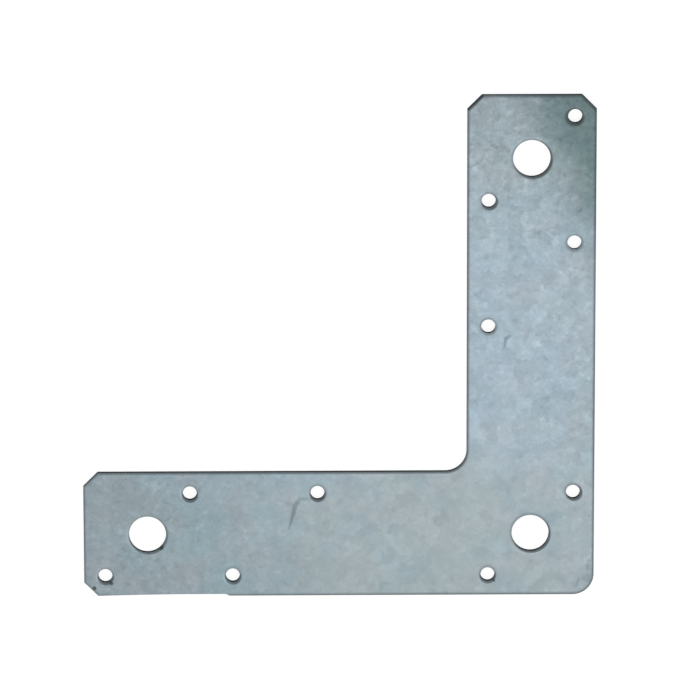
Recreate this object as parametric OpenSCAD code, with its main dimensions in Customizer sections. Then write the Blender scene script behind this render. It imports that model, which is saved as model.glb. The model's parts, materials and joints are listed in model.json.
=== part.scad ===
// Flat L-shaped corner plate, punched as one piece from galvanised steel sheet.
// It lies on its back: +Z comes out of the face that shows, +Y runs along one arm and -X along the other.
// The origin is on the corner bolt hole's axis, on the back face.

/* [Plate] */
// Length of each arm along its outer edge
arm_length = 152.4; // [125:0.1:300]
// Width of each arm
arm_width = 38.1; // [32:0.1:50]
// Thickness of the sheet
sheet_thickness = 2; // [1:0.1:4]

/* [Corners] */
// Leg of the 45 degree cut on both corners of an arm's end
end_chamfer = 4.3; // [2:0.1:5]
// Radius of the outer corner
outer_corner_radius = 6.35; // [2:0.05:12]
// Radius of the inner corner
inner_corner_radius = 6.35; // [2:0.05:10]

/* [Bolt holes] */
// Diameter of the bolt holes
bolt_hole_d = 11.1; // [6:0.1:13]
// Distance of an arm's bolt hole from the end of the arm
bolt_from_end = 19.05; // [16:0.05:21]

/* [Nail holes] */
// Diameter of the nail holes
nail_hole_d = 4.2; // [3:0.1:5]
// Distance of a nail row from the arm's long edge
nail_from_edge = 6.35; // [5:0.05:7]
// Distance of the first nail hole from the end of its arm
nail_from_end = 6.35; // [6:0.05:8]
// Pitch of the nail holes along a row
nail_pitch = 38.1; // [34:0.1:42]
// How far the inner row of nail holes is set back from the outer row
nail_stagger = 25.4; // [22:0.1:28]
// Distance of the nail hole beside the corner from the other arm's outer edge
corner_nail_from_edge = 31.75; // [28:0.05:45]

/* [Sheared edges] */
// How far in from a wall the punch draws the face down
roll_width = 1.1; // [0.4:0.05:1.2]
// How deep the drawn edge sinks at the wall
roll_depth = 0.3; // [0.1:0.05:0.4]
// Deepest point of the second cut that bites into one arm's outer edge
bite_depth = 0.6; // [0.2:0.05:1.2]
// Where that second cut stops, measured from the end of the arm
bite_length = 43.5; // [30:0.5:60]
// How far before its step the second cut is deepest
bite_level = 6; // [1:0.5:15]
// Length of the step where the second cut stops
bite_step = 1.2; // [0.5:0.1:3]

/* [Hidden] */
$fn = 96;

// A cutter runs this far past the sheet, so that it leaves no skin
overrun = 1;
// The drawn edge is an arc that leaves the face level and reaches its depth at the wall
roll_radius = (roll_width * roll_width + roll_depth * roll_depth) / (2 * roll_depth);
// Rim of the arm along +Y, from the inner corner's round around the arm's end to the outer corner's
arm_rim = [
    [-arm_width, arm_width + inner_corner_radius],
    [-arm_width, arm_length - end_chamfer],
    [-arm_width + end_chamfer, arm_length],
    [-end_chamfer, arm_length],
    [0, arm_length - end_chamfer],
    [0, outer_corner_radius],
];
// Nail holes in each of an arm's two rows
nails_in_row = 2;
// The second cut deepens along a long flat arc, from the end of the arm to its deepest point
bite_run = bite_length - bite_step - bite_level;
bite_radius = (bite_run * bite_run + bite_depth * bite_depth) / (2 * bite_depth);
galvanised_grey = [0.64, 0.70, 0.73];

// Draws its children on the arm along +Y, and again mirrored onto the arm along -X
module on_both_arms() {
    children();
    mirror([1, 1, 0]) children();
}

// What lies between a square corner and the circle that rounds it
module corner_ear(radius) {
    difference() {
        translate([-overrun, -overrun]) square(radius + overrun);
        translate([radius, radius]) circle(radius);
    }
}

// Whole outline from the outer corner at the origin, with both corners rounded to their circles
module plate_outline() {
    difference() {
        polygon(concat([[0, 0]], [for (i = [len(arm_rim) - 2 : -1 : 0]) arm_rim[i]],
            [for (i = [0 : len(arm_rim) - 2]) [-arm_rim[i][1], -arm_rim[i][0]]]));
        translate([-arm_width - inner_corner_radius, arm_width + inner_corner_radius])
            circle(inner_corner_radius);
        mirror([1, 0]) corner_ear(outer_corner_radius);
    }
}

// Sliver that the second cut takes off, from the end of the arm to the step where it stops
module bite_outline() {
    intersection() {
        translate([bite_run, bite_depth - bite_radius]) circle(bite_radius, $fn = 1440);
        polygon([
            [0, -overrun],
            [0, bite_depth],
            [bite_length - bite_step, bite_depth],
            [bite_length, 0],
            [bite_length, -overrun],
        ]);
    }
}

// Section of what the punch draws down at an edge: +X points out of the wall, the face is at zero
module roll_section() {
    difference() {
        translate([-roll_width, -2 * roll_depth]) square([roll_width + overrun, 2 * roll_depth + overrun]);
        translate([-roll_width, -roll_radius]) circle(roll_radius);
    }
}

// Drawn-down edge along a straight wall with the sheet on its right, run past either end where asked
module roll_along(start, end, past_start, past_end) {
    run = end - start;
    translate([start[0], start[1], sheet_thickness])
        rotate([0, 0, atan2(run[1], run[0])])
            translate([-past_start, 0, 0])
                rotate([90, 0, 90]) linear_extrude(norm(run) + past_start + past_end) roll_section();
}

// Drawn-down edges of one arm, mitred at the corners of its end
module arm_rolls() {
    past = roll_width + overrun;
    last = len(arm_rim) - 2;
    for (i = [0 : last])
        roll_along(arm_rim[i], arm_rim[i + 1], i == 0 ? 0 : past, i == last ? 0 : past);
}

// Drawn-down edges of the two rounded corners
module corner_rolls() {
    translate([-outer_corner_radius, outer_corner_radius, sheet_thickness])
        rotate([0, 0, -90])
            rotate_extrude(angle = 90) translate([outer_corner_radius, 0]) roll_section();
    translate([-arm_width - inner_corner_radius, arm_width + inner_corner_radius, sheet_thickness])
        rotate([0, 0, -90])
            rotate_extrude(angle = 90) translate([inner_corner_radius, 0]) mirror([1, 0]) roll_section();
}

// Punched hole: a straight bore with its upper rim drawn down
module punched_hole(diameter) {
    translate([0, 0, -overrun]) cylinder(h = sheet_thickness + 2 * overrun, d = diameter);
    translate([0, 0, sheet_thickness])
        rotate_extrude() translate([diameter / 2, 0]) mirror([1, 0]) roll_section();
}

// Holes of one arm: the bolt hole near its end, two staggered rows of nail holes, one nail hole by the corner
module arm_holes() {
    translate([-arm_width / 2, arm_length - bolt_from_end]) punched_hole(bolt_hole_d);
    for (i = [0 : nails_in_row - 1]) {
        outer_row = arm_length - nail_from_end - i * nail_pitch;
        translate([-nail_from_edge, outer_row]) punched_hole(nail_hole_d);
        translate([-arm_width + nail_from_edge, outer_row - nail_stagger]) punched_hole(nail_hole_d);
    }
    translate([-nail_from_edge, corner_nail_from_edge]) punched_hole(nail_hole_d);
}

// The whole plate, moved so that the middle lines of its arms cross at the origin, in the corner bolt hole
module corner_plate() {
    color(galvanised_grey)
        translate([arm_width / 2, -arm_width / 2, 0])
            difference() {
                linear_extrude(sheet_thickness) plate_outline();
                on_both_arms() arm_rolls();
                corner_rolls();
                translate([-arm_length, 0, -overrun])
                    linear_extrude(sheet_thickness + 2 * overrun) bite_outline();
                on_both_arms() arm_holes();
                translate([-arm_width / 2, arm_width / 2]) punched_hole(bolt_hole_d);
            }
}

corner_plate();
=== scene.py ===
# %% [markdown]
# # A flat angle bracket in galvanised steel
# The object is one L-shaped plate, blanked and punched from zinc-coated sheet. It lies on its back on a
# white table. This notebook dresses the finished CAD model: it loads the plate as a fixed frame, sets up
# the camera and the light, models the plate again with clean, evenly spaced faces, and gives it its zinc
# and its bare cut edges. Blender works in metres, so a length is written as millimetres times MM.

# %% Load the frame
import json
import math

import bpy
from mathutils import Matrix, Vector


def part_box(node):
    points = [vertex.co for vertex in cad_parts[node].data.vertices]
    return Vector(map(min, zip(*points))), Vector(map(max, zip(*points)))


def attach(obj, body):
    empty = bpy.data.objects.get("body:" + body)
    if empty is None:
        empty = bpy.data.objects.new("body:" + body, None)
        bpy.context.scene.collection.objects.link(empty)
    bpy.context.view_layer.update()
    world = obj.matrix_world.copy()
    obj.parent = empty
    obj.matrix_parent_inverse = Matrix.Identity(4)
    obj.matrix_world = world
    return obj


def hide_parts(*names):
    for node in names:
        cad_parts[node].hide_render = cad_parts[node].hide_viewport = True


MM = 0.001
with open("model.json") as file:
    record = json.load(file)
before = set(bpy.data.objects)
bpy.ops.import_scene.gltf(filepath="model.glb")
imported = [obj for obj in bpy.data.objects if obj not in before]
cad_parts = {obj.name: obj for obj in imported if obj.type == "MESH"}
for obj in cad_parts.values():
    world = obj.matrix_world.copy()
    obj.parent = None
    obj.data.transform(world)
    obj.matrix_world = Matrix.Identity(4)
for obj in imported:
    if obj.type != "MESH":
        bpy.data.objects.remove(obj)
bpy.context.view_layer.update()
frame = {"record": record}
low_corner, high_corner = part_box("corner_plate")
arm_length = high_corner.x - low_corner.x
half_width = high_corner.x
sheet_thickness = high_corner.z
punched_holes = [mount for mount in frame["record"]["mounts"] if mount["kind"] == "bore"]
print("arm", round(arm_length / MM, 2), "mm long, half width", round(half_width / MM, 2), "mm")
print("sheet", round(sheet_thickness / MM, 2), "mm thick, punched holes", len(punched_holes))

# %% [markdown]
# ## The camera
# The plate was photographed from above with a long lens, from a little way towards the end of the upright
# arm, so its upper walls show as thin dark lines. A long lens far away keeps both arms almost free of
# perspective. The camera could be aimed with a Track To constraint. Here its turn is written down, because
# a constraint would hide the small roll that makes the picture's edges match.

# %% Stand the camera over the plate
camera_place = Vector((-72.0, 506.3, 1863.9)) * MM
camera_turn_in_degrees = (-13.49, -0.50, -0.12)
camera_turn = [math.radians(angle) for angle in camera_turn_in_degrees]
bpy.ops.object.camera_add(location=camera_place, rotation=camera_turn)
camera = bpy.context.object
camera.name = "photo_camera"
camera.data.sensor_width = 36.0
camera.data.lens = 341.85
bpy.context.scene.camera = camera
bpy.context.scene.view_settings.view_transform = "Standard"
print("camera stands", round(camera_place.length, 3), "m away, lens", round(camera.data.lens, 1), "mm")

# %% [markdown]
# ## Shader maths as plain Python
# A material is a graph of nodes, and written node by node even a short formula is hard to read. One small
# class wraps an output socket, so that `1 - mask` or `tone * 0.4` adds the Math node by itself. Everything
# that isn't a sum of values, such as a texture or a colour mix, comes from its one node-making method.

# %% Wrap a socket
class Wire:
    """An output socket of a node tree. Operators on it add Math nodes."""

    def __init__(self, tree, socket=None):
        self.tree = tree
        self.socket = socket

    def node(self, kind, settings=None, inputs=None, output=0):
        """Adds a node, sets its settings and then its inputs, and returns one of its outputs."""
        made = self.tree.nodes.new(kind)
        for name, value in (settings or {}).items():
            setattr(made, name, value)
        for name, value in (inputs or {}).items():
            if isinstance(value, Wire):
                self.tree.links.new(value.socket, made.inputs[name])
            else:
                made.inputs[name].default_value = value
        return Wire(self.tree, None if output is None else made.outputs[output])

    def math(self, operation, *values):
        """A Math node on one or more values."""
        return self.node("ShaderNodeMath", {"operation": operation}, dict(enumerate(values)))

    def __add__(self, other):
        return self.math("ADD", self, other)

    def __radd__(self, other):
        return self.math("ADD", other, self)

    def __sub__(self, other):
        return self.math("SUBTRACT", self, other)

    def __rsub__(self, other):
        return self.math("SUBTRACT", other, self)

    def __mul__(self, other):
        return self.math("MULTIPLY", self, other)

    def __rmul__(self, other):
        return self.math("MULTIPLY", other, self)

    def __truediv__(self, other):
        return self.math("DIVIDE", self, other)

    def above(self, start, full):
        """0 up to start, 1 from full on, with a smooth rise between. Start may be the larger of the two."""
        return self.node("ShaderNodeMapRange", {"interpolation_type": "SMOOTHSTEP"},
                         {"Value": self, "From Min": start, "From Max": full})

    def mix(self, factor, first, second, blend="MIX"):
        """Two colours mixed by a factor. The Mix node keeps its colour sockets after those for numbers."""
        settings = {"data_type": "RGBA", "blend_type": blend}
        return self.node("ShaderNodeMix", settings, {0: factor, 6: first, 7: second}, output=2)


print("a wire can add:", ", ".join(name for name in vars(Wire) if not name.startswith("_")))

# %% [markdown]
# ## Small helpers on wires
# Some steps need more than one node, or a node of another kind: the largest of several masks, sums on
# whole vectors, and the three numbers inside a vector. They could be written out each time, but a named
# helper says what is meant.

# %% Compare wires and work on vectors
def largest(wires):
    """The largest of several values at each point."""
    first, *others = wires
    for other in others:
        first = first.math("MAXIMUM", first, other)
    return first


def vector(operation, *values, output=0):
    """A Vector Math node. Its first value is a Wire."""
    return values[0].node("ShaderNodeVectorMath", {"operation": operation}, dict(enumerate(values)), output)


def split(triple):
    """The three values of a vector or a colour."""
    separate = triple.node("ShaderNodeSeparateXYZ", inputs={"Vector": triple}).socket.node
    return [Wire(triple.tree, socket) for socket in separate.outputs]


print("helpers on wires are ready")

# %% [markdown]
# ## Colours and materials
# A picture stores a colour on a curve that suits the eye, but a shader adds up light. A colour picker
# converts one into the other out of sight. Here a function does it, so that a colour is written the way it
# is seen. Each material starts with no nodes, so nothing is in it that this notebook doesn't put there.

# %% Write colours and start materials
def shade(red, green, blue):
    """A colour as a picture shows it, 0 to 255, in the linear light that shaders work in."""
    def linear(value):
        """The curve on which pictures store light, straight near black and a power above that."""
        value = value / 255
        return value / 12.92 if value < 0.04045 else ((value + 0.055) / 1.055) ** 2.4
    return (linear(red), linear(green), linear(blue), 1.0)


def grey(level):
    """An even grey that throws back this share of the light."""
    return (level, level, level, 1.0)


def new_material(name):
    """A material without nodes, and a Wire to add nodes with."""
    material = bpy.data.materials.new(name)
    material.use_nodes = True
    material.node_tree.nodes.clear()
    return material, Wire(material.node_tree)


def finish_material(surface):
    """Links a shader to the output of its material."""
    surface.node("ShaderNodeOutputMaterial", inputs={"Surface": surface}, output=None)


print("a seen grey of 128 throws back", round(shade(128, 128, 128)[0], 3), "of the light")

# %% [markdown]
# ## The table
# The ground is pure white. More lamps would wash out the steel, so the table gets its white from its own
# material: for camera, mirror and clear rays it glows on top of a dimmed diffuse white, and the shadow of
# the plate still darkens the diffuse share. Every other ray meets a plain white.

# %% Lay the table
table_side = 12.0
table_gap = 0.05 * MM
plain_white = 0.8
diffuse_share = 0.30
glow_share = 0.86
picture_rays = ("Is Camera Ray", "Is Glossy Ray", "Is Transmission Ray")
bpy.ops.object.select_all(action="DESELECT")
bpy.ops.mesh.primitive_plane_add(size=table_side, location=(0, 0, -table_gap))
table = bpy.context.object
table.name = "table"
table_white, make = new_material("table_white")
in_picture = largest(make.node("ShaderNodeLightPath", output=ray) for ray in picture_rays)
plain = make.node("ShaderNodeBsdfDiffuse", inputs={"Color": grey(plain_white)})
dimmed = make.node("ShaderNodeBsdfDiffuse", inputs={"Color": grey(diffuse_share)})
glow = make.node("ShaderNodeEmission", inputs={"Color": grey(1.0), "Strength": glow_share})
glowing = make.node("ShaderNodeAddShader", inputs={0: dimmed, 1: glow})
finish_material(make.node("ShaderNodeMixShader", inputs={0: in_picture, 1: plain, 2: glowing}))
table.data.materials.append(table_white)
print("table laid,", table.dimensions.x, "m wide")

# %% [markdown]
# ## The studio around it
# Zinc is a dull mirror, so what stands around the plate is a part of its look. The world is pale all over,
# as in a light tent. High up, on the camera's side and on the -X side, it is dimmer, and that draws the
# rolled edges there as thin dark lines. Black cards could do that too, but would leave hard reflections.

# %% Set the world
world_level = 0.745
dim_side = (-0.60, 0.80, 0.0)
dim_share = 0.52
dim_heights = (0.42, 0.80)
studio = bpy.data.worlds.new("studio")
studio.use_nodes = True
studio.node_tree.nodes.clear()
make = Wire(studio.node_tree)
direction = make.node("ShaderNodeTexCoord", output="Generated")
towards_dim = vector("DOT_PRODUCT", direction, dim_side, output="Value")
high_up = split(direction)[2].above(*dim_heights)
dimming = dim_share * largest([towards_dim, 0.0]) * high_up
sky = make.node("ShaderNodeBackground", inputs={"Color": world_level - dimming})
make.node("ShaderNodeOutputWorld", inputs={"Surface": sky}, output=None)
bpy.context.scene.world = studio
print("the world has a level of", world_level, "and", len(studio.node_tree.nodes), "nodes")

# %% [markdown]
# ## The softbox
# One soft lamp hangs low over the corner. The camera sees its reflection in the upright arm, spread by the
# rough zinc, so the plate is brightest there and fades towards both of its ends. A lamp far away would
# light the whole plate evenly, and the fading would have to be painted.

# %% Hang the softbox
softbox_place = Vector((8.0, 2.0, 220.0)) * MM
softbox_side = 150.0 * MM
softbox_level = 0.75
bpy.ops.object.light_add(type="AREA", location=softbox_place)
softbox = bpy.context.object
softbox.name = "softbox"
softbox.visible_camera = False
softbox.data.shape = "SQUARE"
softbox.data.size = softbox_side
softbox.data.energy = softbox_level * math.pi * softbox_side ** 2
print("softbox", round(softbox_side / MM), "mm wide,", round(softbox.data.energy, 3), "W")

# %% [markdown]
# ## The blank
# On the real part one stroke of a die cuts the outline out of the sheet. It could be traced point by
# point, but an outline made of straight runs is quicker by hand: a square for the corner, and one edge
# pulled out for each arm. The lines left inside are then dissolved, so the blank is one face.

# %% Draw the two arms
same_place = 0.001 * MM
flat_angle = math.radians(1)
arm_reach = arm_length - 2 * half_width


def pick(piece, part, wanted):
    """Selects in edit mode the vertices or polygons of a piece for which wanted says yes."""
    bpy.ops.object.mode_set(mode="EDIT")
    bpy.ops.mesh.select_mode(type={"vertices": "VERT", "polygons": "FACE"}[part])
    bpy.ops.mesh.select_all(action="DESELECT")
    bpy.ops.object.mode_set(mode="OBJECT")
    for element in getattr(piece.data, part):
        element.select = wanted(element)
    bpy.ops.object.mode_set(mode="EDIT")


def near(value, target):
    """Whether two lengths are the same but for rounding."""
    return abs(value - target) < same_place


bpy.ops.object.select_all(action="DESELECT")
bpy.ops.mesh.primitive_plane_add(size=2 * half_width)
plate = bpy.context.object
plate.name = "zinc_plate"
pick(plate, "vertices", lambda vertex: near(vertex.co.y, half_width))
bpy.ops.mesh.extrude_region_move(TRANSFORM_OT_translate={"value": (0, arm_reach, 0)})
pick(plate, "vertices", lambda vertex: near(vertex.co.x, -half_width) and vertex.co.y < half_width + MM)
bpy.ops.mesh.extrude_region_move(TRANSFORM_OT_translate={"value": (-arm_reach, 0, 0)})
bpy.ops.mesh.select_all(action="SELECT")
bpy.ops.mesh.dissolve_limited(angle_limit=flat_angle)
bpy.ops.object.mode_set(mode="OBJECT")
print("blank has", len(plate.data.vertices), "corners and", len(plate.data.polygons), "face")

# %% [markdown]
# ## The corners
# Both arm ends have their corners cut off, and the outer and inner corner are round. The points of an arc
# could be worked out and added by hand. A bevel on single vertices does it in one step: with one segment
# it cuts the corner straight, and with many it rounds it.

# %% Cut and round the corners
end_chamfer = 4.3 * MM
corner_round = 6.35 * MM
round_steps = 24


def where_arms_meet(vertex):
    """Whether a vertex is the outer or the inner corner of the L."""
    return near(abs(vertex.co.x), half_width) and near(abs(vertex.co.y), half_width)


pick(plate, "vertices", lambda vertex: max(-vertex.co.x, vertex.co.y) > arm_reach)
bpy.ops.mesh.bevel(affect="VERTICES", offset_type="OFFSET", offset=end_chamfer, segments=1)
pick(plate, "vertices", where_arms_meet)
bpy.ops.mesh.bevel(affect="VERTICES", offset_type="OFFSET", offset=corner_round, segments=round_steps)
bpy.ops.object.mode_set(mode="OBJECT")
print("outline has", len(plate.data.vertices), "points")

# %% [markdown]
# ## Thickness
# The sheet is as thick as the frame says. A Solidify modifier could thicken the blank, and would then have
# to be applied before the next step. One extrude does it at once. It stops short of the full thickness, at
# the height where the walls end and the drawn-down edge begins.

# %% Raise the walls
roll_depth = 0.3 * MM
wall_top = sheet_thickness - roll_depth
pick(plate, "polygons", lambda face: True)
bpy.ops.mesh.extrude_region_move(TRANSFORM_OT_translate={"value": (0, 0, wall_top)})
bpy.ops.mesh.select_all(action="SELECT")
bpy.ops.mesh.normals_make_consistent(inside=False)
bpy.ops.object.mode_set(mode="OBJECT")
print("walls stand", round(wall_top / MM, 3), "mm high")

# %% [markdown]
# ## Holes
# The three bolt holes and ten nail holes are punched in the same stroke. Drawing them as a part of the
# outline would need many hand-placed bridges between the loops. A Boolean cuts them all with one cutter
# that holds all the punches, each standing where the frame's record puts the real hole.

# %% Punch the holes
punch_height = 6 * sheet_thickness
fewest_steps = 24
steps_per_mm_of_radius = 12


def cut(piece, cutter):
    """Cuts the cutter's shape out of the piece, and throws the cutter away."""
    bpy.ops.object.select_all(action="DESELECT")
    bpy.context.view_layer.objects.active = piece
    piece.select_set(True)
    modifier = piece.modifiers.new("cut", "BOOLEAN")
    modifier.operation = "DIFFERENCE"
    modifier.solver = "EXACT"
    modifier.object = cutter
    bpy.ops.object.modifier_apply(modifier=modifier.name)
    bpy.data.objects.remove(cutter)


bpy.ops.object.select_all(action="DESELECT")
punches = []
for hole in punched_holes:
    radius_in_mm = hole["dims"]["r_mm"]
    steps = fewest_steps + round(radius_in_mm * steps_per_mm_of_radius)
    bpy.ops.mesh.primitive_cylinder_add(vertices=steps, radius=radius_in_mm * MM, depth=punch_height,
                                        location=hole["pos_m"])
    punches.append(bpy.context.object)
for punch in punches:
    punch.select_set(True)
bpy.ops.object.join()
cut(plate, bpy.context.object)
print("punched", len(punches), "holes; the plate now has", len(plate.data.polygons), "faces")

# %% [markdown]
# ## The drawn-down edge
# A punch bends the sheet before it cuts through it, so on the side where it enters, the face rolls down
# into every wall. A bevel would take as much from the wall as from the face, but the real roll is wide and
# shallow. So the whole upper face is inset a little and lifted a little, several times over, along an arc
# that ends level.

# %% Roll the edges
roll_width = 1.1 * MM
roll_steps = 6
nearly_level = 0.99
roll_radius = (roll_width ** 2 + roll_depth ** 2) / (2 * roll_depth)
roll_angle = math.asin(roll_width / roll_radius)
pick(plate, "polygons", lambda face: face.normal.z > nearly_level)
for step in range(roll_steps):
    steeper = roll_angle * (1 - step / roll_steps)
    flatter = roll_angle * (1 - (step + 1) / roll_steps)
    inward = roll_radius * (math.sin(steeper) - math.sin(flatter))
    upward = roll_radius * (math.cos(flatter) - math.cos(steeper))
    bpy.ops.mesh.inset(thickness=inward, depth=0, use_boundary=True, use_even_offset=True)
    bpy.ops.transform.translate(value=(0, 0, upward))
bpy.ops.object.mode_set(mode="OBJECT")
print("rolled edges reach", round(max(vertex.co.z for vertex in plate.data.vertices) / MM, 3), "mm")

# %% [markdown]
# ## The bite of the second cut
# The outer edge of one arm was trimmed twice. The second stroke bit in by up to 0.6 mm along a very flat
# curve, and stops at a small step. A disc more than two metres wide, trimmed by one bisect at the step,
# gives that curve exactly, where moved edge points would leave corners.

# %% Bite into the arm's outer edge
bite_depth = 0.6 * MM
bite_length = 43.5 * MM
bite_level = 6.0 * MM
bite_step = 1.2 * MM
disc_steps = 1440
knife_tolerance = 0.0001 * MM
bite_run = bite_length - bite_step - bite_level
bite_radius = (bite_run ** 2 + bite_depth ** 2) / (2 * bite_depth)
disc_centre = (low_corner.x + bite_run, low_corner.y + bite_depth - bite_radius, 0)
step_end = (low_corner.x + bite_length, low_corner.y, 0)
step_slope = Vector((bite_depth, bite_step, 0)).normalized()
bpy.ops.object.select_all(action="DESELECT")
bpy.ops.mesh.primitive_cylinder_add(vertices=disc_steps, radius=bite_radius, depth=punch_height,
                                    location=disc_centre)
disc = bpy.context.object
bpy.ops.object.transform_apply(location=True, rotation=True, scale=True)
bpy.ops.object.mode_set(mode="EDIT")
bpy.ops.mesh.select_all(action="SELECT")
bpy.ops.mesh.bisect(plane_co=step_end, plane_no=step_slope, use_fill=True, clear_outer=True,
                    threshold=knife_tolerance)
bpy.ops.mesh.select_all(action="SELECT")
bpy.ops.mesh.normals_make_consistent(inside=False)
bpy.ops.object.mode_set(mode="OBJECT")
cut(plate, disc)
print("second cut follows a radius of", round(bite_radius, 3), "m")

# %% [markdown]
# ## Clean normals
# Edges sharper than the roll's small steps stay sharp, and all others are smoothed. On its own that would
# bend the light on the large flat faces, because their corner normals would be averaged with the roll's. A
# Weighted Normal modifier lets the large faces win, so they stay dead flat.

# %% Finish the mesh
merge_distance = 0.0005 * MM
smooth_up_to = math.radians(28)
bpy.ops.object.mode_set(mode="EDIT")
bpy.ops.mesh.select_all(action="SELECT")
bpy.ops.mesh.remove_doubles(threshold=merge_distance)
bpy.ops.mesh.normals_make_consistent(inside=False)
bpy.ops.object.mode_set(mode="OBJECT")
bpy.ops.object.shade_smooth_by_angle(angle=smooth_up_to)
weighting = plate.modifiers.new("level_faces", "WEIGHTED_NORMAL")
weighting.keep_sharp = True
weighting.weight = 100
bpy.ops.object.modifier_apply(modifier=weighting.name)
print("plate mesh:", len(plate.data.vertices), "vertices,", len(plate.data.polygons), "faces")

# %% [markdown]
# ## The zinc coat
# The sheet was drawn through molten zinc, which froze into flat crystals a few millimetres wide, the
# spangle. A picture of it could be laid on the faces, but a pattern made of nodes stays sharp at any
# distance. It is drawn in millimetres on the plate, so that a size in the code is a size on the steel.

# %% Helpers for patterns in millimetres
face_height = sheet_thickness / MM


def in_millimetres(make):
    """Object coordinates, scaled so that a texture size of 4 means 4 mm on the plate."""
    metres = make.node("ShaderNodeTexCoord", output="Object")
    return make.node("ShaderNodeMapping", inputs={"Vector": metres, "Scale": (1 / MM, 1 / MM, 1 / MM)})


def noise(place, size, detail=2.0, output="Fac"):
    """Cloudy noise from 0 to 1, whose patches are about the given size across."""
    inputs = {"Vector": place, "Scale": 1 / size, "Detail": detail}
    return place.node("ShaderNodeTexNoise", None, inputs, output)


def grains(place, size):
    """Cells of about the given size that meet like frozen crystals, each with three random numbers."""
    return place.node("ShaderNodeTexVoronoi", None, {"Vector": place, "Scale": 1 / size}, "Color")


def turned(place, angle):
    """Places turned about the plate's upright axis, so that a pattern lies at that angle."""
    settings = {"rotation_type": "Z_AXIS"}
    return place.node("ShaderNodeVectorRotate", settings, {"Vector": place, "Angle": angle})


def distance(place, x, y, height=face_height):
    """How far each place lies from a point, which is on the upper face unless its height says otherwise."""
    return vector("DISTANCE", place, (x, y, height), output="Value")


def centred(value):
    """A value from 0 to 1, moved to lie evenly around 0."""
    return value - 0.5


print("pattern helpers are ready; the upper face is at", round(face_height, 2), "mm")

# %% [markdown]
# ## The spangle
# Each crystal lies at its own angle, so neighbours are a little lighter or darker, and fine feathers run
# across each in its own direction. A Voronoi texture gives every crystal random numbers, and one of them
# turns the grain of a stretched noise. Its straight borders would look like tiles, so the places are first
# bent by a finer noise.

# %% Grow the spangle
crystal_size = 4.0
bend_size = 1.6
bend_reach = 2.5
feather_size = 1.0
feather_stretch = (0.35, 1.6, 1.0)
middle = (0.5, 0.5, 0.5)
zinc, make = new_material("spangled_zinc")
place = in_millimetres(make)
sway = vector("SUBTRACT", noise(place, bend_size, detail=3.0, output="Color"), middle)
bent = vector("MULTIPLY_ADD", sway, (bend_reach, bend_reach, bend_reach), place)
crystal = grains(bent, crystal_size)
crystal_turn, crystal_tone, crystal_gloss = split(crystal)
feather_lie = turned(place, crystal_turn * math.pi)
feathers = noise(vector("MULTIPLY", feather_lie, feather_stretch), feather_size, detail=3.0)
print("crystals about", crystal_size, "mm wide")

# %% [markdown]
# ## Flakes, flecks and clouds
# Smaller flakes lie among the large crystals, with light and dark flecks that lean three ways. A fine
# speckle and broad clouds go over them all. One noise with many octaves would mix these up, but as
# separate patterns each can have its own strength in every part of the plate.

# %% Scatter flakes and flecks
flake_size = 1.8
fleck_size = 1.6
fleck_stretch = (1.0, 0.6, 1.0)
fleck_leans = (35, -50, 80)
light_fleck = (0.58, 0.76)
dark_fleck = (0.40, 0.22)
speckle_size = 0.7
cloud_size = 9.0
flakes = centred(split(grains(bent, flake_size))[0])
leaning_flecks = []
for degrees in fleck_leans:
    leaning = vector("MULTIPLY", turned(place, math.radians(degrees)), fleck_stretch)
    streaks = noise(leaning, fleck_size, detail=1.0)
    leaning_flecks.append(streaks.above(*light_fleck) - streaks.above(*dark_fleck))
flecks = sum(leaning_flecks)
speckle = noise(place, speckle_size, detail=3.0)
clouds = noise(place, cloud_size, detail=3.0)
print("flakes", flake_size, "mm, speckle", speckle_size, "mm and clouds", cloud_size, "mm wide")

# %% [markdown]
# ## Light and dark in the zinc
# The patterns are summed into one tone around 1, which later multiplies the colour. On the real plate they
# are bolder towards both arm ends and calmer around the corner. A material for each area would show a
# border, so smooth ramps along the arms weigh the patterns.

# %% Sum the tones
# A ramp is given by the places, in millimetres from the corner bolt hole, where it starts and is full
across, along, height = split(place)
upright = along.above(12, 55)
ends = 0.5 * across.above(-92, -112) + along.above(82, 106)
calm = 0.4 * distance(place, -28.0, -6.0).above(75, 20)
crystal_share = 0.05
feather_share = 0.16
speckle_share = 0.12
cloud_share = 0.14 + 0.10 * ends
flake_share = 0.06 + 0.02 * upright + 0.07 * ends
fleck_share = 0.09 + 0.01 * upright + 0.03 * ends
tone = crystal_share * centred(crystal_tone) + feather_share * centred(feathers)
tone = tone + speckle_share * centred(speckle) + cloud_share * centred(clouds)
tone = tone + flake_share * flakes + fleck_share * flecks
tone = 1 + tone * (1 - calm)
print("the tone takes", len(zinc.node_tree.nodes), "nodes")

# %% [markdown]
# ## Painted lighter and darker patches
# Over a few centimetres at a time the plate is lighter here and darker there, which is painted light and
# shade in the tone. A very large noise would put such patches anywhere. A short list of round patches that
# fade out towards their rims puts them where the plate shows them.

# %% Lay the patches over the tone
# Each patch has the x and y of its middle, its reach, and its change of tone, negative where it is painted
# darker
light_and_shade_patches = [(-55.0, -8.0, 38.0, 0.05), (-78.0, 8.0, 22.0, 0.03), (-28.0, 13.0, 26.0, -0.055),
                  (0.0, 9.0, 18.0, -0.03), (-12.0, -10.0, 16.0, 0.025), (16.0, 38.0, 20.0, -0.06),
                  (-14.0, 80.0, 14.0, 0.03), (-8.0, 124.0, 20.0, -0.05), (3.0, 95.0, 14.0, -0.045)]
# Positive changes are painted light, negative ones painted shade
for patch_x, patch_y, patch_reach, change in light_and_shade_patches:
    tone = tone + change * distance(place, patch_x, patch_y).above(patch_reach, 0)
print("laid", len(light_and_shade_patches), "uneven patches")

# %% [markdown]
# ## Tints of the zinc
# Zinc is a cool grey, but not the same all over. Two bands, one on each arm, are cooler, the rest leans to
# green, and a patch near the corner is warmer. One grey would look like paint. A broad noise moves the
# border between the tints, so that no ramp shows as a straight line.

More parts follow.
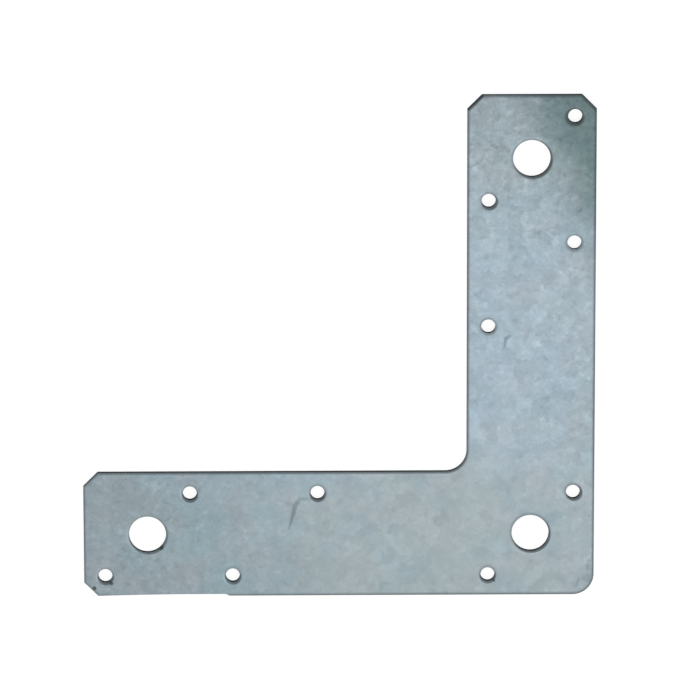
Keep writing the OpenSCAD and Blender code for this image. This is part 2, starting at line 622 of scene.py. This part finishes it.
# %% Tint the zinc
blue_zinc = shade(165, 183, 195)
teal_zinc = shade(161, 184, 192)
green_zinc = shade(167, 181, 186)
warm_zinc = shade(171, 181, 181)
tint_size = 24
lean_to_green = 0.18
cool_upright = along.above(8, 30) * along.above(112, 88)
cool_foot = across.above(-68, -86) * across.above(-124, -106)
cool_band = cool_upright + 0.75 * cool_foot
green_rim = across.above(6, 18)
greening = lean_to_green + noise(place, tint_size) - 0.30 * cool_band + 0.20 * green_rim
cool_zinc = make.mix(along.above(5, 25), teal_zinc, blue_zinc)
tint = make.mix(greening.above(0.2, 0.8), cool_zinc, green_zinc)
warm_patch = 0.5 * distance(place, -30.0, -12.0).above(55, 8)
tint = make.mix(warm_patch, tint, warm_zinc)
print("tinted the zinc with", len(zinc.node_tree.nodes), "nodes so far")

# %% [markdown]
# ## Mottle and the darker corner
# Over these tints go mottled spots of mauve, of deeper blue and of paler grey, about a centimetre wide,
# and the plate's upper outer corner is darker than the rest, partly duller zinc and partly painted shade.
# They could be painted. Here the mottles are the same kind of noise, moved far away so that it doesn't
# repeat the tints, and a slanted ramp with a cloudy border darkens the corner.

# %% Mottle the zinc and darken its upper corner, partly with painted shade
mauve_zinc = shade(172, 180, 188)
deep_zinc = shade(157, 178, 187)
pale_zinc = shade(173, 182, 189)
mauve_size = 15
mottle_size = 11
mauve_away = (310.0, 170.0, 0.0)
mottle_away = (-140.0, 260.0, 0.0)
corner_slant = 2.2
cloudy_border = 34
dulling_and_shade = (0.47, 0.55, 0.53, 1.0)
mauve = 0.35 * noise(vector("ADD", place, mauve_away), mauve_size).above(0.50, 0.68)
tint = make.mix(mauve, tint, mauve_zinc)
mottle = noise(vector("ADD", place, mottle_away), mottle_size)
mottle_share = 0.45 - 0.15 * upright
tint = make.mix(mottle.above(0.50, 0.66) * mottle_share, tint, deep_zinc)
tint = make.mix(mottle.above(0.50, 0.34) * mottle_share, tint, pale_zinc)
towards_corner = along + corner_slant * across + cloudy_border * centred(clouds)
# The darker upper corner is partly duller zinc and partly painted shade
tint = make.mix(towards_corner.above(107, 155), tint, dulling_and_shade, "MULTIPLY")
colour = make.mix(1.0, tint, tone, "MULTIPLY")
print("the clean zinc takes", len(zinc.node_tree.nodes), "nodes")

# %% [markdown]
# ## How marks are drawn
# Handling has left lines on the face, and a few dark lines are painted shade. They could be painted on an
# image, but the distance from a few straight runs draws them too, at any sharpness. Each point of a line
# has its own width and strength, so a scuff can swell and fade, and a little noise in the distance breaks
# up its outline.

# %% A helper for lines on the face
front = height.above(1.0, 1.4)
ragged = 0.5 * centred(speckle)
line_rim = (0.4, -0.3)


def line_through(points):
    """A mask of a line through points of the face, each with x, y, half width and strength."""
    runs = []
    for start, end in zip(points, points[1:]):
        start_x, start_y, start_half, start_strength = start
        end_x, end_y, end_half, end_strength = end
        step_x = end_x - start_x
        step_y = end_y - start_y
        share = ((across - start_x) * step_x + (along - start_y) * step_y) / (step_x ** 2 + step_y ** 2)
        share = share.math("MINIMUM", largest([share, 0.0]), 1.0)
        off_x = across - start_x - share * step_x
        off_y = along - start_y - share * step_y
        off_line = off_x.math("SQRT", off_x * off_x + off_y * off_y)
        line_half = start_half + share * (end_half - start_half)
        strength = start_strength + share * (end_strength - start_strength)
        beyond = off_line + ragged - line_half
        runs.append(beyond.above(*line_rim) * strength)
    return largest(runs) * front


print("a line fades over", round(line_rim[0] - line_rim[1], 2), "mm at its rim")

# %% [markdown]
# ## Scuffs, scratches and painted shade on two corners
# A bent scuff with a faint branch starts beside one nail hole, a dark tick sits on the upright arm, and
# two short strokes lie at the outer corner. A dark band along two cut corners is painted shade, and one
# light scratch crosses the upright arm. Each is a list of points, so that a mark can be moved without
# touching the others.

# %% Scuff the coat
scuff_grey = shade(104, 124, 130)
corner_shade_grey = shade(52, 62, 64)
scratch_white = shade(214, 226, 232)
scuff = [(-65.5, 10.8, 0.45, 0.20), (-68.9, 10.8, 0.50, 0.40), (-70.2, 8.6, 0.65, 0.55),
         (-70.8, 6.1, 0.55, 0.60), (-72.1, 1.6, 0.10, 0.50)]
scuff_branch = [(-75.5, 10.8, 0.30, 0.12), (-70.7, 8.9, 0.40, 0.20)]
dark_tick = [(-6.4, 60.6, 0.45, 0.50), (-7.4, 59.8, 0.55, 0.65), (-8.1, 56.7, 0.15, 0.40)]
lower_stroke = [(13.6, -16.6, 0.25, 0.35), (14.7, -14.2, 0.30, 0.35)]
upper_stroke = [(17.2, -11.2, 0.50, 0.25), (17.6, -8.6, 0.60, 0.30)]
# Dark bands of painted shade along the two cut corners of the upright arm's end
left_corner_shade = [(-18.7, 129.2, 0.40, 0.85), (-14.8, 133.1, 0.50, 0.85)]
right_corner_shade = [(14.5, 133.2, 0.35, 0.45), (18.8, 128.9, 0.45, 0.55)]
light_scratch = [(4.4, 92.2, 0.15, 0.40), (8.1, 89.0, 0.15, 0.25)]
marks = [(scuff, scuff_grey), (scuff_branch, scuff_grey), (dark_tick, scuff_grey),
         (lower_stroke, scuff_grey), (upper_stroke, scuff_grey),
         (left_corner_shade, corner_shade_grey), (right_corner_shade, corner_shade_grey), (light_scratch, scratch_white)]
for points, mark_colour in marks:
    colour = make.mix(line_through(points), colour, mark_colour)
print("drew", len(marks), "lines")

# %% [markdown]
# ## Spots of dirt and painted shadow
# Dark spots sit at a few places, mostly at holes, corners and edges: some are dirt, and some are painted
# shadow of small burrs and a nick. Specks of mesh would stand off the face, so the spots are drawn into the
# zinc as the lines are, by the distance from a point.

# %% Spot the coat with dirt and painted shadow
# Each spot has the x and y of its middle, its radius and its strength
dirt_and_shade = shade(62, 70, 72)
spot_fade = 0.6
dirt_and_shadow_spots = [(-110.3, -4.0, 1.1, 0.85), (-125.3, -15.0, 0.9, 0.75), (-130.3, -16.5, 0.9, 0.80),
              (-10.8, -14.6, 0.7, 0.75), (3.6, 81.9, 0.4, 0.45), (17.6, 5.2, 0.6, 0.25),
              (17.0, -13.8, 1.7, 0.15)]
# Each spot paints dirt or the shadow of a burr or nick, as listed above
for spot_x, spot_y, spot_radius, strength in dirt_and_shadow_spots:
    off_spot = distance(place, spot_x, spot_y) + ragged
    colour = make.mix(off_spot.above(spot_radius, spot_radius - spot_fade) * strength, colour, dirt_and_shade)
print("set", len(dirt_and_shadow_spots), "spots of dirt")

# %% [markdown]
# ## Thin zinc and painted shade on the rolled edges
# Where the punch draws the sheet down, the zinc is stretched thin, and these edges are painted darker,
# strongly along the outline
# and less around the holes: partly that thin zinc and partly painted shade. The edges could be selected and
# given a third material, but that would end in a hard line. The slope of the surface fades the zinc
# smoothly instead.

# %% Thin and shade the zinc on the roll
thin_zinc_and_shade = shade(84, 88, 92)
outline_thinning_and_shade = 0.57
hole_thinning_and_shade = 0.14
roll_slopes = (0.997, 0.92)
rim_fade = 0.6
normal = make.node("ShaderNodeNewGeometry", output="Normal")
upward_share = split(normal)[2]
rolled_down = upward_share.math("ABSOLUTE", upward_share).above(*roll_slopes)
level_place = vector("MULTIPLY", place, (1.0, 1.0, 0.0))


def in_plan(hole):
    """The x and y of a hole's middle, and its radius, in millimetres."""
    return hole["pos_m"][0] / MM, hole["pos_m"][1] / MM, hole["dims"]["r_mm"]


hole_rims = []
for hole in punched_holes:
    hole_x, hole_y, hole_radius = in_plan(hole)
    rim = hole_radius + roll_width / MM
    hole_rims.append(distance(level_place, hole_x, hole_y, 0.0).above(rim + rim_fade, rim))
spared_at_holes = (outline_thinning_and_shade - hole_thinning_and_shade) * largest(hole_rims)
# The rolled edges are darkened partly as thin zinc and partly as painted shade
colour = make.mix(rolled_down * (outline_thinning_and_shade - spared_at_holes), colour, thin_zinc_and_shade)
print("thinned the zinc along the outline and at", len(hole_rims), "holes")

# %% [markdown]
# ## Dirt and painted shade at the holes
# Most holes also have a dark crescent below the rim, below and to the right on some, and all
# around on one: partly dirt, and partly painted shade under the rim. It could be painted hole by hole. A
# disc a little larger than the hole, moved a little off its middle, leaves just that crescent in sight, and
# moves with the hole.

# %% Paint dirt and shade at the holes
# The dark crescent at a hole, dirt and painted shade, has the disc's shift in x and y, how far beyond the
# hole's radius it ends and is full, and its strength
bolt_dirt_and_shade = (0.30, -0.30, 0.45, 0.10, 0.60)
nail_dirt_and_shade = (0.05, -0.45, 0.50, 0.20, 0.60)
other_dirt_and_shade = {"y_arm_nail_hole_1": (-0.30, -0.35, 1.40, 0.0, 0.60),
              "y_arm_nail_hole_2": (0.36, -0.38, 0.55, 0.20, 0.60),
              "y_arm_nail_hole_5": (0.42, -0.38, 0.55, 0.20, 0.65),
              "x_arm_bolt_hole": (0.25, -0.28, 0.45, 0.10, 0.45)}
unmarked_holes = ("y_arm_nail_hole_3", "y_arm_nail_hole_4")
dirt_and_shade_at_holes = []
for hole in punched_holes:
    if hole["name"] in unmarked_holes:
        continue
    usual_dirt_and_shade = bolt_dirt_and_shade if "bolt" in hole["name"] else nail_dirt_and_shade
    shift_x, shift_y, end, full, strength = other_dirt_and_shade.get(hole["name"], usual_dirt_and_shade)
    hole_x, hole_y, hole_radius = in_plan(hole)
    off_middle = distance(level_place, hole_x + shift_x, hole_y + shift_y, 0.0)
    dirt_and_shade_at_holes.append(off_middle.above(hole_radius + end, hole_radius + full) * strength)
# Dark crescents at the holes: partly dirt, partly painted shade under the rims
colour = make.mix(largest(dirt_and_shade_at_holes) * front, colour, dirt_and_shade)
print("dirt caught at", len(dirt_and_shade_at_holes), "holes")

# %% [markdown]
# ## Tilted crystals
# The crystals' surfaces lean a little in all directions, so some catch the light while their neighbours
# don't. Modelling that would take a mesh of millions of faces. Each crystal's random numbers tip its
# shading normal instead, and a faint bump raises its feathers.

# %% Tilt the crystals and finish the coat
crystal_tilt = 0.04
relief_depth = 0.02 * MM
crystal_lean = vector("SUBTRACT", crystal, middle)
tipped = vector("MULTIPLY_ADD", crystal_lean, (crystal_tilt, crystal_tilt, 0.0), normal)
relief = make.node("ShaderNodeBump", inputs={
    "Strength": 0.3, "Distance": relief_depth, "Height": 0.6 * feathers + 0.4 * speckle,
    "Normal": vector("NORMALIZE", tipped)})
roughness = 0.36 + 0.08 * crystal_gloss + 0.10 * speckle
finish_material(make.node("ShaderNodeBsdfPrincipled", inputs={
    "Base Color": colour, "Metallic": 1.0, "Roughness": roughness, "Normal": relief}))
plate.data.materials.append(zinc)
print("spangled zinc has", len(zinc.node_tree.nodes), "nodes")

# %% [markdown]
# ## The bare cut edges
# The punch and the shear leave steel without zinc on every wall. Near the face where the tool came in, the
# wall is burnished smooth by the tool. Below that the steel tore, and is rough and darker. Both show as
# one dark line from above. Painting the line into the zinc would leave the walls wrong from the side, so
# they get a steel of their own. Its greys are set darker than bare steel, so they are partly painted shade.

# %% Mix the sheared steel
# Both pairs of greys are darker than bare steel: partly the steel's own colour, partly painted shade
torn_steel_and_shade = (shade(38, 41, 42), shade(74, 78, 80))
burnished_steel_and_shade = (shade(54, 59, 61), shade(90, 96, 98))
drag_size = 1.0
drag_stretch = (2.2, 2.2, 0.25)
tear_size = 0.35
burnish_heights = (0.75, 1.05)
tear_depth = 0.05 * MM
steel, make = new_material("sheared_steel")
wall_place = in_millimetres(make)
wall_height = split(wall_place)[2]
drag = noise(vector("MULTIPLY", wall_place, drag_stretch), drag_size, detail=3.0)
tear = noise(wall_place, tear_size, detail=4.0)
burnish = (wall_height + 0.5 * centred(drag)).above(*burnish_heights)
wall_steel_and_shade = make.mix(burnish, make.mix(tear, *torn_steel_and_shade), make.mix(drag, *burnished_steel_and_shade))
wall_relief = make.node("ShaderNodeBump", inputs={
    "Strength": 0.6, "Distance": tear_depth, "Height": tear * (1 - burnish) + drag * 0.5})
finish_material(make.node("ShaderNodeBsdfPrincipled", inputs={
    "Base Color": wall_steel_and_shade, "Metallic": 0.0, "Roughness": 0.8 - 0.3 * burnish,
    "Specular IOR Level": 0.0, "Normal": wall_relief}))
print("sheared steel has", len(steel.node_tree.nodes), "nodes")

# %% [markdown]
# ## Steel on the walls
# Every wall stands upright, and the rolled edges lean far less, so the direction in which a face points
# tells walls and zinc apart. Picking the faces by hand would have to be done again after each change of
# shape.

# %% Bare the walls
# A face is a wall where its normal points up or down by less than this
steepest_zinc = 0.5
plate.data.materials.append(steel)
pick(plate, "polygons", lambda face: abs(face.normal.z) < steepest_zinc)
plate.active_material_index = plate.data.materials.find(steel.name)
bpy.ops.object.material_slot_assign()
bpy.ops.object.mode_set(mode="OBJECT")
print("walls have", sum(face.material_index for face in plate.data.polygons), "faces of bare steel")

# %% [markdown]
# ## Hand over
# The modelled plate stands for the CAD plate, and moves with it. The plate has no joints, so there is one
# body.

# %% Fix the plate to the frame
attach(plate, "root")
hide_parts("corner_plate")
